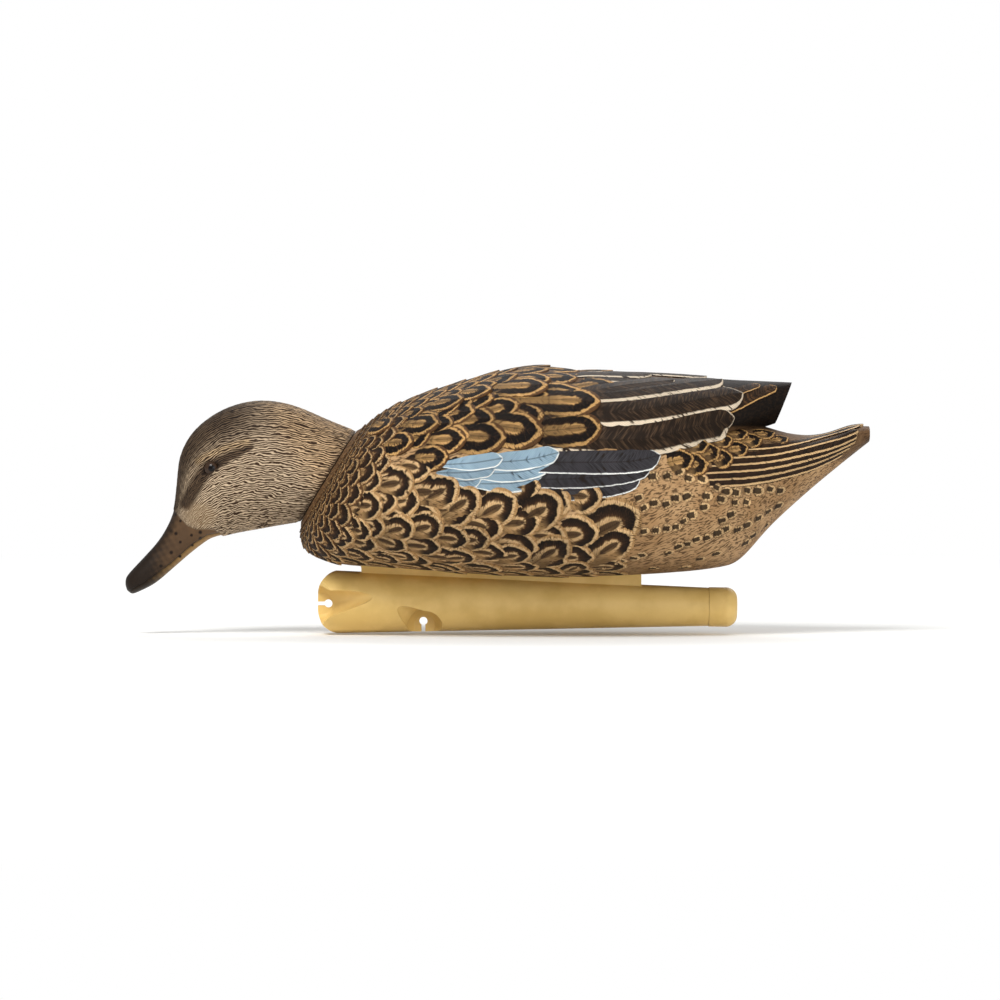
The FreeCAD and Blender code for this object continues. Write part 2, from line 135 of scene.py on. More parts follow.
# ---- places on the body
SECTION_HEIGHT = [(-72, 68), (-20, 66), (40, 64), (90, 70), (130, 80), (165, 88)]
FAR = 160.0
SEAM_LIMIT = -73.9  # feathers start behind the neck seam


def section(s):
    """Centre and upward direction of the body's cross-section s millimetres along it."""
    lean = NECK_LEAN * smooth((20 - s) / 92)
    up = Vector((math.sin(lean), 0, math.cos(lean)))
    return Vector((s, 0, lerp_table(s, SECTION_HEIGHT))), up


def ring_point(s, theta):
    """The skin on the left side, theta degrees round from the back: (place, normal)."""
    centre, up = section(s)
    angle = math.radians(theta)
    out = up * math.cos(angle) + Vector((0, -math.sin(angle), 0))
    place, normal, _, _ = BODY.ray_cast(centre + out * FAR, -out)
    return place, normal


def side_point(x, z):
    """The skin seen square on from the left at (x, z)."""
    place, normal, _, _ = BODY.ray_cast(Vector((x, -FAR, z)), Vector((0, 1, 0)))
    return place, normal


def ring_path(s_tip, theta, length, steps, drift=0.0):
    """Root-to-tip points along the body's flow, ending at section s_tip."""
    trail = [ring_point(s_tip, theta)]
    s, run = s_tip, 0.0
    while run < length and s > SEAM_LIMIT:
        s -= 0.75
        angle = theta - drift * (s_tip - s)
        spot = ring_point(s, angle)
        if spot[0] is None:
            break
        run += (spot[0] - trail[-1][0]).length
        trail.append(spot)
    trail.reverse()
    return even_path(trail, steps)


def side_path(corners, steps):
    """Root-to-tip points under a smooth curve drawn through (x, z) corners seen from the left."""
    dense = []
    count = len(corners)
    for i in range(count - 1):
        before, after = corners[max(i - 1, 0)], corners[min(i + 2, count - 1)]
        here, there = corners[i], corners[i + 1]
        for k in range(8):
            t = k / 8
            x, z = (
                q + 0.5 * ((r - p) * t + (2 * p - 5 * q + 4 * r - w) * t ** 2
                           + (3 * q - p - 3 * r + w) * t ** 3)
                for p, q, r, w in zip(before, here, there, after)
            )
            dense.append((x, z))
    dense.append(corners[-1])
    trail = [side_point(x, z) for x, z in dense]
    return even_path([t for t in trail if t[0] is not None], steps)


def even_path(trail, steps):
    """Resamples a trail of (place, normal) by length, closer together towards the tip."""
    if len(trail) < 3:
        return None
    places = np.array([t[0] for t in trail])
    normals = np.array([t[1] for t in trail])
    gaps = norm(np.diff(places, axis=0), axis=1)
    run = np.concatenate([[0.0], np.cumsum(gaps)])
    if run[-1] < 1.0:
        return None
    share = 1 - (1 - np.linspace(0, 1, steps)) ** 1.5
    at = share * run[-1]
    even = np.stack([np.interp(at, run, places[:, k]) for k in range(3)], 1)
    facing = np.stack([np.interp(at, run, normals[:, k]) for k in range(3)], 1)
    facing /= norm(facing, axis=1)[:, None]
    return {"places": even, "normals": facing, "share": share, "length": run[-1]}


# ---- feathers
WIDE_FROM = 9.0  # feathers wider than this get the finer columns
WIDE_COLUMNS = (-1.0, -0.93, -0.72, -0.42, -0.10, 0.0, 0.10, 0.42, 0.72, 0.93, 1.0)
NARROW_COLUMNS = (-1.0, -0.86, -0.45, 0.0, 0.45, 0.86, 1.0)
UNDER = 0.7  # how far a feather's underside lies below the skin
SNAP = 2.2  # furthest that a feather is drawn down to the skin
SHAFT_RIDGE = 0.12
TIP_LENGTH = 1.15  # length of the rounded tip, in half widths
THINNEST = 0.10  # share of the half width left at the very tip


def across_path(path):
    """The sideways direction at each step of a path."""
    forward = np.gradient(path["places"], axis=0)
    forward /= norm(forward, axis=1)[:, None]
    across = np.cross(path["normals"], forward)
    return across / norm(across, axis=1)[:, None]


def outline(to_tip, power):
    """Share of a feather's half width: full until to_tip is 1, then rounded off to the tip at 0."""
    if to_tip >= 1:
        return 1.0
    return max(THINNEST, (1 - max(0.0, 1 - to_tip) ** power) ** (1 / power))


def on_skin(at, normal):
    """Draws a point towards the skin: (place, outward direction)."""
    at = Vector(at)
    near, facing, _, away = BODY.find_nearest(at)
    if away <= SNAP:
        return near, (normal + facing * 0.6).normalized()
    return at + (near - at) * (SNAP / away), normal


class Plumage:
    """Collects the relief feathers of one group into a single mesh of closed leaves."""

    def __init__(self):
        self.points, self.faces = [], []
        self.shape_uv, self.size_uv, self.tint, self.girth = [], [], [], []

    def add(self, path, width, lift, tip=2.0, crown=0.35, tilt=0.0, root=0.8, sink=0.9):
        """One feather: width is its widest, lift the height of its tip above the skin."""
        if path is None:
            return
        columns = WIDE_COLUMNS if width > WIDE_FROM else NARROW_COLUMNS
        across = across_path(path)
        half, length = width / 2, path["length"]
        tip_run = min(1.0, TIP_LENGTH * half / length)
        bowing = min(1.0, width / 10)
        base = len(self.points)
        top, under, shape, size = [], [], [], []
        for i, v in enumerate(path["share"]):
            w = half * outline((1 - v) / tip_run, tip) * (root + (1 - root) * min(1.0, v / 0.5))
            rise = -sink + (lift + sink) * v ** 0.8
            for u in columns:
                spot, out = on_skin(path["places"][i] + across[i] * (u * w), Vector(path["normals"][i]))
                bow = crown * (1 - u * u) - crown * 0.6 + tilt * u
                shaft = SHAFT_RIDGE if u == 0 else 0.0
                height = rise + (bow + shaft) * bowing * min(1.0, v * 2)
                top.append(spot + out * height)
                under.append(spot - out * (UNDER + sink))
                shape.append((u, (1 - v) * length / half))
                size.append((u * w, (1 - v) * length))
        self.points += top + under
        self.shape_uv += shape * 2
        self.size_uv += size * 2
        self.tint += [RNG.random()] * (2 * len(top))
        self.girth += [half] * (2 * len(top))
        self._close(base, len(path["share"]), len(columns))

    def _close(self, base, rows, cols):
        """Faces of a closed leaf whose top grid starts at base and is followed by its underside."""
        below = rows * cols
        for i in range(rows - 1):
            for j in range(cols - 1):
                a = base + i * cols + j
                quad = (a, a + 1, a + cols + 1, a + cols)
                self.faces.append(quad)
                self.faces.append(tuple(below + k for k in reversed(quad)))
        rim = [base + j for j in range(cols)]
        rim += [base + i * cols + cols - 1 for i in range(1, rows)]
        rim += [base + (rows - 1) * cols + j for j in range(cols - 2, -1, -1)]
        rim += [base + i * cols for i in range(rows - 2, 0, -1)]
        for a, b in zip(rim, rim[1:] + rim[:1]):
            self.faces.append((b, a, a + below, b + below))

    def build(self, name, material, mirror=False):
        """Makes the piece on the left, or its mirror image on the right."""
        points, faces = self.points, self.faces
        if mirror:
            points = [Vector((p[0], -p[1], p[2])) for p in points]
            faces = [tuple(reversed(f)) for f in faces]
        made = mesh_object(name, points, faces)
        mesh = made.data
        loops = np.zeros(len(mesh.loops), np.int32)
        mesh.loops.foreach_get("vertex_index", loops)
        for layer, values in (("shape", self.shape_uv), ("size", self.size_uv)):
            uv = mesh.uv_layers.new(name=layer)
            uv.data.foreach_set("uv", np.array(values, np.float32)[loops].ravel())
        point_values(mesh, "tint", self.tint)
        point_values(mesh, "girth", self.girth)
        finish_piece(made, material)


def finish_piece(made, material, body="body", sharp=50):
    made.data.materials.append(material)
    made.data.shade_smooth()
    made.data.set_sharp_from_angle(angle=math.radians(sharp))
    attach(made, body)


def both_sides(group, name, material):
    group.build(name + "_left", material)
    group.build(name + "_right", material, mirror=True)


# ---- material helpers
class Signal:
    """Something a material works out at each point. Arithmetic on signals adds math nodes."""

    def __init__(self, tree, socket):
        self.tree, self.socket = tree, socket

    def __add__(self, other):
        return self.tree.math("ADD", self, other)

    def __radd__(self, other):
        return self.tree.math("ADD", other, self)

    def __sub__(self, other):
        return self.tree.math("SUBTRACT", self, other)

    def __rsub__(self, other):
        return self.tree.math("SUBTRACT", other, self)

    def __mul__(self, other):
        return self.tree.math("MULTIPLY", self, other)

    def __truediv__(self, other):
        return self.tree.math("DIVIDE", self, other)

    def __rtruediv__(self, other):
        return self.tree.math("DIVIDE", other, self)

    def __pow__(self, other):
        return self.tree.math("POWER", self, other)

    def __abs__(self):
        return self.tree.math("ABSOLUTE", self)


class Tree:
    """A short way to write a material's nodes."""

    def __init__(self, name):
        self.material = bpy.data.materials.new(name)
        self.material.use_nodes = True
        self.nodes = self.material.node_tree.nodes
        self.links = self.material.node_tree.links
        self.surface = self.nodes["Principled BSDF"]

    def feed(self, socket, value):
        if isinstance(value, Signal):
            self.links.new(value.socket, socket)
        else:
            socket.default_value = value

    def add(self, kind, inputs, output=0, **settings):
        """Makes a node and returns one of its outputs. Sockets go by name or number."""
        node = self.nodes.new("ShaderNode" + kind)
        for name, value in settings.items():
            setattr(node, name, value)
        for name, value in inputs.items():
            self.feed(node.inputs[name], value)
        return Signal(self, node.outputs[output])

    def math(self, kind, a, b=0.0, clamp=False):
        return self.add("Math", {0: a, 1: b}, operation=kind, use_clamp=clamp)

    def step(self, value, low, high):
        """Smooth from 0 at low to 1 at high. low may be above high."""
        ends = {"To Min": 0.0, "To Max": 1.0}
        if low > high:
            low, high = high, low
            ends = {"To Min": 1.0, "To Max": 0.0}
        inputs = {"Value": value, "From Min": low, "From Max": high, **ends}
        return self.add("MapRange", inputs, interpolation_type="SMOOTHSTEP")

    def mix(self, share, a, b, kind="MIX"):
        """Colour a where share is 0, colour b where it is 1."""
        return self.add("Mix", {0: share, 6: a, 7: b}, 2, data_type="RGBA", blend_type=kind)

    def coats(self, colour, *coats):
        """Paints (share, colour) coats over a colour, one after another."""
        for share, coat in coats:
            colour = self.mix(share, colour, coat)
        return colour

    def bands(self, value, stops):
        """A colour for each value, from (value, colour) stops."""
        ramp_colour = self.add("ValToRGB", {0: value})
        points = ramp_colour.socket.node.color_ramp.elements
        points[0].position, points[0].color = stops[0]
        points[1].position, points[1].color = stops[-1]
        for position, colour in stops[1:-1]:
            points.new(position).color = colour
        return ramp_colour

    def split(self, vector):
        """A vector's three parts."""
        first = self.add("SeparateXYZ", {0: vector})
        return [Signal(self, part) for part in first.socket.node.outputs]

    def vector(self, x, y, z=0.0):
        return self.add("CombineXYZ", {0: x, 1: y, 2: z})

    def length(self, vector):
        return self.add("VectorMath", {0: vector}, "Value", operation="LENGTH")

    def place(self):
        """Position on the object, in metres."""
        return self.add("TexCoord", {}, "Object")

    def uv(self, name):
        return self.split(self.add("UVMap", {}, uv_map=name))[:2]

    def value(self, name):
        """A number that the mesh stores at each point."""
        return self.add("Attribute", {}, "Fac", attribute_name=name)

    def noise(self, where, scale, detail=3.0):
        return self.add("TexNoise", {"Vector": where, "Scale": scale, "Detail": detail})

    def strands(self, across, along, gap):
        """Wavy strands a gap apart that run along: about -1 between them and 1 on their crests."""
        broad = self.vector(across / 2.6, along / 5.0)
        narrow = self.vector(across / 0.55, along / 2.8)
        phase = across / gap + self.noise(broad, 1.0, 1.0) * 2.6
        broken = (self.noise(narrow, 1.0, 2.0) - 0.5) * 3.2
        return self.math("SINE", phase * FULL_TURN) + broken

    def bump(self, height, depth_mm, strength):
        inputs = {"Strength": strength, "Distance": depth_mm * MM, "Height": height}
        self.feed(self.surface.inputs["Normal"], self.add("Bump", inputs))

    def finish(self, colour, roughness, shine=0.10, metal=0.0, gloss=0.0):
        """Connects the surface. Gloss is a clear coat's strength."""
        for name, value in (
            ("Base Color", colour), ("Roughness", roughness), ("Specular IOR Level", shine),
            ("Metallic", metal), ("Coat Weight", gloss), ("Coat Roughness", 0.15),
        ):
            self.feed(self.surface.inputs[name], value)
        return self.material


NEAR_BLACK = srgb(17, 11, 7)
BLACK_BROWN = srgb(28, 19, 12)
DARK_BROWN = srgb(50, 33, 20)
MID_BROWN = srgb(88, 61, 37)
TAN = srgb(172, 134, 88)
GOLD = srgb(190, 148, 92)
CREAM = srgb(208, 172, 124)
PALE = srgb(220, 202, 176)
WHITE = srgb(235, 235, 230)
SKY_BLUE, SKY_WEB = srgb(138, 162, 176), srgb(118, 142, 158)
SLATE, SLATE_WEB = srgb(56, 54, 57), srgb(40, 38, 40)
UMBER, UMBER_WEB = srgb(34, 24, 16), srgb(74, 56, 40)
BUFF, BUFF_SHADE = srgb(176, 142, 102), srgb(154, 120, 82)


class FeatherTree(Tree):
    """The coordinates and painted strokes that every feather material shares."""

    def __init__(self, name):
        super().__init__(name)
        self.u, self.y = self.uv("shape")
        self.across, self.along = self.uv("size")
        wobble = self.noise(self.place(), 420.0, 2.0)
        per_half = 1.0 / self.value("girth")
        self.wobble = (wobble - 0.5) * (per_half * 2.2)
        self.fray = (self.hairs(0.55, 3.5) - 0.5) * (per_half * 2.0)

    def hairs(self, gap, length):
        """Noise drawn out along the barbs, which run from the shaft out towards the tip."""
        away = abs(self.across)
        run = self.along + away * 0.8
        cross = away - self.along * 0.8
        where = self.vector(run / gap, cross / length, self.value("tint") * 60.0)
        return self.noise(where, 1.0, 1.0)

    def contour(self, roundness, reach):
        """0 along the shaft and 1 on the rim, running round the tip."""
        fall = self.math("SUBTRACT", 1.0, self.y / reach, clamp=True)
        rim = (abs(self.u) ** roundness + fall ** roundness) ** (1.0 / roundness)
        return rim + self.wobble + self.fray

    def barbs(self, spacing, slant=0.8):
        """Fine ribs that run out from the shaft towards the tip."""
        run = self.along + abs(self.across) * slant + self.wobble * 1.2
        return self.math("SINE", run * (FULL_TURN / spacing))

    def splits(self, amount, length=3.5, gap=0.55):
        """Painted hair-thin gaps between barbs: 1 in a gap."""
        return self.step(self.hairs(gap, length), 0.72 - amount, 0.78 - amount)

    def complete(self, colour, ribs, gaps, gap_colour, roughness=0.62, ribs_show=0.10):
        """Adds ribs, gaps, a tint for each feather and soft wear, and closes the material."""
        tint = 0.84 + self.value("tint") * 0.28
        wear = 0.72 + self.noise(self.place(), 60.0) * 0.56
        shade = (1.0 - ribs_show + ribs * ribs_show) * tint * wear
        grey = self.vector(shade, shade, shade)
        colour = self.mix(1.0, colour, grey, "MULTIPLY")
        colour = self.mix(gaps * 0.8, colour, gap_colour)
        self.bump(ribs * 0.35 - gaps, 0.22, 0.8)
        return self.finish(colour, roughness + self.wobble * 0.4)


def chevron_material(name, bands, roundness, reach, streak, ribs=1.0, gap_share=0.13, fade=0.0):
    """Body feathers: rim, dark band and pale centre, with a dark streak along the shaft."""
    tree = FeatherTree(name)
    round_rim = tree.contour(roundness, reach)
    lens = (tree.u / 0.20) ** 2.0 + ((tree.y - 1.35) / 0.55) ** 2.0 + tree.fray * 2.2
    low_limb = tree.step(tree.u, 0.05, -0.35) * tree.step(tree.y, 0.95, 1.6)
    inside = tree.step(round_rim, 0.98, 0.88)
    shaft = tree.step(abs(tree.across), 0.30, 0.12) * tree.step(tree.y, 0.35, 0.5)
    colour = tree.coats(
        tree.bands(round_rim, bands),
        (tree.step(lens, 1.2, 0.7) * streak, DARK_BROWN),
        (low_limb * inside * fade, TAN),
        (shaft * 0.6, DARK_BROWN),
        (tree.step(tree.y, 1.3, 2.3) * 0.55, BLACK_BROWN),  # painted shade at the root, under the next feather
    )
    return tree.complete(colour, tree.barbs(ribs), tree.splits(gap_share), DARK_BROWN, ribs_show=0.16)


FLANK_BANDS = [
    (0.0, TAN), (0.34, CREAM), (0.42, MID_BROWN), (0.48, DARK_BROWN), (0.66, BLACK_BROWN),
    (0.80, BLACK_BROWN), (0.84, CREAM), (0.97, CREAM), (1.0, TAN),
]
# This and BREAST_BANDS end in a darker rim: part painted outline, part painted shade where the feathers
# overlap.
BACK_BANDS = [
    (0.0, GOLD), (0.27, GOLD), (0.34, DARK_BROWN), (0.42, NEAR_BLACK), (0.78, NEAR_BLACK),
    (0.82, GOLD), (0.96, GOLD), (1.0, MID_BROWN),
]
BREAST_BANDS = [
    (0.0, TAN), (0.24, TAN), (0.33, MID_BROWN), (0.42, DARK_BROWN), (0.79, NEAR_BLACK),
    (0.84, CREAM), (0.93, TAN), (1.0, MID_BROWN),
]


def rump_material(name):
    """Small buff feathers: a dark square spot held by a light cup at the tip."""
    tree = FeatherTree(name)
    frayed = tree.fray * 0.45 + tree.wobble * 0.6
    side = abs(tree.u) + frayed
    run = tree.y + frayed
    wash = tree.step(side, 0.98, 0.84) * tree.step(run, 2.4, 1.9)
    cup = tree.step(side, 0.82, 0.66) * tree.step(run, 1.75, 1.3)
    spot = tree.step(side, 0.50, 0.40) * tree.step(run, 0.45, 0.58) * tree.step(run, 2.0, 1.7)
    colour = tree.coats(BUFF, (wash * 0.6, MID_BROWN), (cup, CREAM), (spot * 0.92, BLACK_BROWN))
    return tree.complete(colour, tree.barbs(0.9), tree.splits(0.16, 2.6, 0.5), DARK_BROWN)


def edge_material(name, field, web, edge, stripe, tip_line, gap_share, breaks=0.0):
    """Long feathers: a field with a darker or lighter web, and a stripe of the edge colour.

    The stripe runs along the lower half, between two shares of the half width, and round the tip.
    breaks is how strongly slits cut it.
    """
    tree = FeatherTree(name)
    lower = tree.wobble * 0.35 - tree.u
    start, end = stripe
    slits = tree.step(tree.hairs(2.6, 9.0), 0.62, 0.66)
    rim = tree.step(lower, start, start + 0.10) * tree.step(lower, end + 0.04, end) * (1.0 - slits * breaks)
    smooth_rim = tree.contour(2.2, 1.0) - tree.fray
    tip = tree.step(smooth_rim, tip_line, tip_line + 0.03) * tree.step(tree.y, 1.3, 1.0)
    rim = tree.math("MAXIMUM", rim, tip * 0.8)
    streaks = tree.step(tree.hairs(1.1, 8.0), 0.42, 0.72)
    shaft = tree.step(abs(tree.across), 0.40, 0.15)
    colour = tree.coats(field, (streaks, web), (rim, edge), (shaft * 0.5, BLACK_BROWN))
    gaps = tree.splits(gap_share, 7.0, 1.1)
    return tree.complete(colour, tree.barbs(1.15, 1.1), gaps, BLACK_BROWN, 0.55, 0.2)


# ---- plumage layout
# Feathers placed one by one on the left side, as (tip x, tip z, width, rise in degrees, length).
FLANK = [
    (-49, 58, 14, 3, 20), (-35.5, 68.5, 16.5, 9, 26), (-35.5, 50, 14, 18, 24),
    (-54, 46, 12, -8, 17), (-61.5, 43, 11, -16, 14), (-41.5, 33.5, 12.5, -6, 20),
    (-34, 35, 13.5, -4, 20), (-23, 51, 15, 17, 26), (-16.5, 68, 16, 28, 28),
    (-7.5, 64, 16.5, 34, 30), (8.5, 61.5, 17.5, 28, 32), (28, 61, 19, 30, 36),
    (-2.5, 44, 15, 6, 26), (-9, 36.5, 14.5, 9, 26), (15, 38, 16, 12, 28),
    (-18, 29.5, 13, -4, 22), (2.5, 30, 14, 0, 24), (31, 43.5, 18, 36, 34),
    (62, 55.5, 24, 28, 46), (59, 46.5, 19, 34, 40), (38, 33.5, 13, 34, 26),
]
SCAPULARS = [
    (-46.5, 91, 13, -14, 17), (-36, 84.5, 13.5, 0, 19), (-24.8, 92.3, 14.5, -2, 24),
    (-20.5, 78.5, 13, 2, 22), (-13, 86, 15, 0, 24), (-14, 103.2, 15, 6, 24),
    (-2, 107, 15, 2, 24), (4.3, 86.5, 18, -4, 32), (20.3, 88.5, 20, -10, 42),
    (45.8, 91.5, 17.5, 4, 42), (45.4, 102, 19, -3, 52), (22.5, 109, 17, -1, 34),
]
BLUE = [
    ([(-19, 68.2), (-12, 68.4), (-6.5, 69.6)], 7, 0.80),
    ([(-26, 71.8), (-12, 72), (-0.5, 74)], 7, 1.00),
    ([(-27, 75), (-10, 76), (2.8, 78)], 7, 1.20),
    ([(-16, 67.4), (6, 67.4), (19.5, 70)], 8.5, 0.45),
    ([(-18, 71.4), (8, 72), (23, 75.5)], 8.5, 0.65),
    ([(-18, 76), (10, 77), (27, 80.5)], 9, 0.85),
]
SPECULUM = [
    ([(8, 63.5), (34, 64.5), (53, 67), (62.5, 71.5)], 9.5, 0.30),
    ([(8, 69), (36, 69.5), (56, 71.5), (67, 75.5)], 9, 0.60),
    ([(8, 76.5), (38, 76.3), (58, 76.6), (71, 79.2)], 11, 0.90),
]
PRIMARIES = [
    ([(84, 95), (101, 99.4), (113, 105), (123.5, 109.4)], 5.5, 0.40),
    ([(84, 101), (100, 105), (108, 107.6), (116, 110)], 5, 0.70),
]
TERTIALS = [
    ([(20, 87), (50, 86), (68, 87.2), (86, 91.5), (103.8, 95.8)], 16.5, 1.15),
    ([(20, 97), (50, 97.6), (70, 99.6), (90, 103), (108, 105.6)], 15.5, 1.40),
    ([(28, 103.5), (46, 107.6), (64, 109.8), (78, 110.8)], 12, 1.45),
    ([(25, 105), (52, 106), (74, 108.5), (88, 110), (99.5, 111)], 13.5, 1.65),
]
RIDGE_FEATHERS = [(100, 27, 62, 13, 0.9), (93, 8, 52, 12, 1), (68, 20, 36, 11.5, 1.3)]
TAIL_FEATHERS = [
    ([(93, 66.5), (114, 68), (138, 73.4), (153, 80)], 3.8, 0.25),
    ([(91, 69.4), (116, 71), (141, 76.8), (156.5, 83.6)], 3.8, 0.35),
    ([(90, 72.3), (118, 74.2), (143, 79.8), (158.5, 86)], 3.8, 0.45),
    ([(94, 75.4), (120, 77.2), (145, 82.6), (159, 88)], 3.8, 0.55),
    ([(100, 78.8), (122, 80.2), (146, 85.2), (159.5, 89.8)], 3.8, 0.65),
    ([(106, 82.2), (126, 83.4), (147, 87.6), (160, 91.6)], 3.8, 0.75),
]
# Chains of small spotted feathers on the rear flank: first and last tip, and how many.
SPOT_CHAINS = [
    ((69.6, 70.2), (81, 73.8), 3), ((84.4, 69.5), (96, 65), 3), ((101, 63.2), (125, 64.2), 6),
    ((62, 62.5), (62, 62.5), 1), ((65, 57.2), (83.5, 62), 5), ((82, 52.1), (91.5, 56.8), 3),
    ((99, 51.5), (104, 54), 2), ((65, 46.4), (79, 49), 4), ((75.3, 38.5), (101.5, 47.8), 7),
    ((105.9, 47.5), (124.5, 58), 5), ((42, 28.8), (65, 36.5), 6), ((84, 31.5), (97, 36.5), 3),
    ((93, 60.5), (110, 58.5), 4), ((70, 30.5), (72, 33), 1), ((110, 41.5), (118, 48.5), 3),
]


ROW_PITCH = 0.84  # distance between a row's feathers, in feather widths


def aimed_path(x, z, rise, length, steps):
    """A straight path, seen from the side, that ends at (x, z)."""
    angle = math.radians(rise)
    runs = (length, length / 2, 0)
    return side_path([(x - run * math.cos(angle), z - run * math.sin(angle)) for run in runs], steps)


def rows(group, start, end, gaps, widths, tops, bottoms, lift, **shape):
    """Staggered rows round the body from section start to end.

    Gaps between rows, feather widths, and the angles where a row starts and ends are all tables
    of (section, value).
    """
    s, staggered = start, False
    while s < end:
        gap, width, theta, bottom = (lerp_table(s, t) for t in (gaps, widths, tops, bottoms))
        shift = staggered
        while theta < bottom:
            place, _ = ring_point(s, theta)
            if place is None:
                break
            radius = (place - section(s)[0]).length
            pitch = math.degrees(width * ROW_PITCH / radius)
            if shift:
                theta += pitch / 2
                shift = False
                continue
            wide = width * RNG.uniform(0.88, 1.12)
            near = s + RNG.uniform(-0.12, 0.12) * gap
            path = ring_path(near, theta, wide * 1.1 + gap, 9, RNG.uniform(-0.25, 0.25))
            group.add(path, wide, lift * RNG.uniform(0.9, 1.1), **shape)
            theta += pitch
        s += gap
        staggered = not staggered


def build_breast():
    group = Plumage()
    rows(
        group, -72.6, -50.0,
        gaps=[(-72, 1.6), (-67, 3.0), (-60, 5.0), (-50, 7.0)],
        widths=[(-72, 4.6), (-67, 7.5), (-60, 11.0), (-50, 14.0)],
        tops=[(-72, 3), (-60, 6), (-56, 40), (-50, 72)],
        bottoms=[(-72, 177), (-52, 165)],
        lift=0.75,
    )
    paint = chevron_material("breast_paint", BREAST_BANDS, 2.4, 1.3, 0.4, 0.7)
    both_sides(group, "breast_feathers", paint)


def build_flank():
    group = Plumage()
    rows(
        group, -50.0, 68.0,
        gaps=[(-50, 9.5), (0, 13.0), (60, 14.0)],
        widths=[(-50, 13.0), (-20, 16.5), (60, 18.0)],
        tops=[(-50, 78), (-30, 84), (30, 90), (68, 96)],
        bottoms=[(-50, 165), (0, 158), (68, 152)],
        lift=0.6,
    )
    for x, z, width, rise, length in sorted(FLANK, key=lambda f: -f[0]):
        group.add(aimed_path(x, z, rise, length, 12), width, 1.05, crown=0.5, tilt=-0.08)
    paint = chevron_material("flank_paint", FLANK_BANDS, 2.2, 1.25, 0.9, fade=0.85)
    both_sides(group, "flank_feathers", paint)


def build_back():
    mantle, scapulars = Plumage(), Plumage()
    rows(
        mantle, -62.0, 54.0,
        gaps=[(-62, 7.5), (-20, 12.0), (40, 14.5)],
        widths=[(-62, 11.0), (-20, 15.5), (40, 16.0)],
        tops=[(-62, 4)],
        bottoms=[(-62, 40), (-52, 66), (-20, 72), (15, 66), (52, 40)],
        lift=0.6,
    )
    for x, z, width, rise, length in SCAPULARS:
        scapulars.add(aimed_path(x, z, rise, length, 14), width, 1.35, tip=1.9, crown=0.5, tilt=-0.06)
    paint = chevron_material("back_paint", BACK_BANDS, 1.9, 1.3, 0.55)
    both_sides(mantle, "mantle_feathers", paint)
    both_sides(scapulars, "scapular_feathers", paint)


def build_wing():
    blue, speculum, tertials, primaries = Plumage(), Plumage(), Plumage(), Plumage()
    for corners, width, lift in SPECULUM:
        speculum.add(side_path(corners, 16), width, lift, tip=1.3, crown=0.1, sink=-0.7 * lift)
    for corners, width, lift in BLUE:
        blue.add(side_path(corners, 12), width, lift, tip=1.5, crown=0.1, root=0.12, sink=-0.7 * lift)
    for corners, width, lift in PRIMARIES:
        primaries.add(side_path(corners, 16), width, lift, tip=1.5, crown=0.1, sink=-0.6 * lift)
    for corners, width, lift in TERTIALS:
        tertials.add(side_path(corners, 20), width, lift, tip=1.5, crown=0.6, sink=-0.15)
    for s, theta, length, width, lift in RIDGE_FEATHERS:
        tertials.add(ring_path(s, theta, length, 18), width, lift, tip=1.6, crown=0.5, sink=-0.15)
    sky = edge_material("blue_paint", SKY_BLUE, SKY_WEB, WHITE, (0.80, 0.97), 0.90, 0.04)
    both_sides(blue, "blue_coverts", sky)
    slate = edge_material("slate_paint", SLATE, SLATE_WEB, WHITE, (0.84, 0.97), 0.94, 0.09)
    both_sides(speculum, "speculum", slate)
    wing = edge_material("tertial_paint", UMBER, UMBER_WEB, PALE, (0.64, 0.95), 0.95, 0.08, 1.0)
    both_sides(tertials, "tertials", wing)
    dusk = edge_material("primary_paint", srgb(40, 28, 18), MID_BROWN, GOLD, (0.66, 0.90), 0.90, 0.03)
    both_sides(primaries, "primaries", dusk)


def build_rear():
    spotted, coverts, tail = Plumage(), Plumage(), Plumage()
    for (x0, z0), (x1, z1), count in SPOT_CHAINS:
        rise = math.degrees(math.atan2(z1 - z0, max(x1 - x0, 0.1))) if count > 1 else 15
        for k in range(count):
            t = k / max(count - 1, 1)
            x, z = x0 + (x1 - x0) * t, z0 + (z1 - z0) * t
            x, z = x + RNG.uniform(0.9, 2.2), z + RNG.uniform(-0.8, 0.8)
            path = aimed_path(x, z, rise * 0.7 + RNG.uniform(-12, 12), 7.5, 8)
            spotted.add(path, RNG.uniform(4.4, 6.2), 0.5, tip=2.2, crown=0.4, sink=0.5)
    rows(
        coverts, 86.0, 134.0,
        gaps=[(86, 6.0)],
        widths=[(86, 11.0), (130, 8.5)],
        tops=[(88, 66), (100, 58), (118, 56), (131, 52)],
        bottoms=[(88, 84), (110, 84), (131, 66)],
        lift=1.0, crown=0.2,
    )
    for corners, width, lift in TAIL_FEATHERS:
        tail.add(side_path(corners, 18), width, lift, tip=1.8, crown=0.25, sink=-0.15)
    for theta in (8, 26, 44):
        tail.add(ring_path(162.5, theta, 27, 14), 5.5, 1.0, tip=1.8, crown=0.25, sink=0.2)
    both_sides(spotted, "rump_feathers", rump_material("rump_paint"))
    covert = chevron_material("covert_paint", BACK_BANDS, 2.0, 1.3, 0.4, fade=0.4)
    both_sides(coverts, "tail_coverts", covert)
    stripes = edge_material("tail_paint", DARK_BROWN, BLACK_BROWN, CREAM, (0.30, 0.82), 0.96, 0.03)
    both_sides(tail, "tail_feathers", stripes)


build_breast()
build_flank()
build_back()
build_wing()
build_rear()


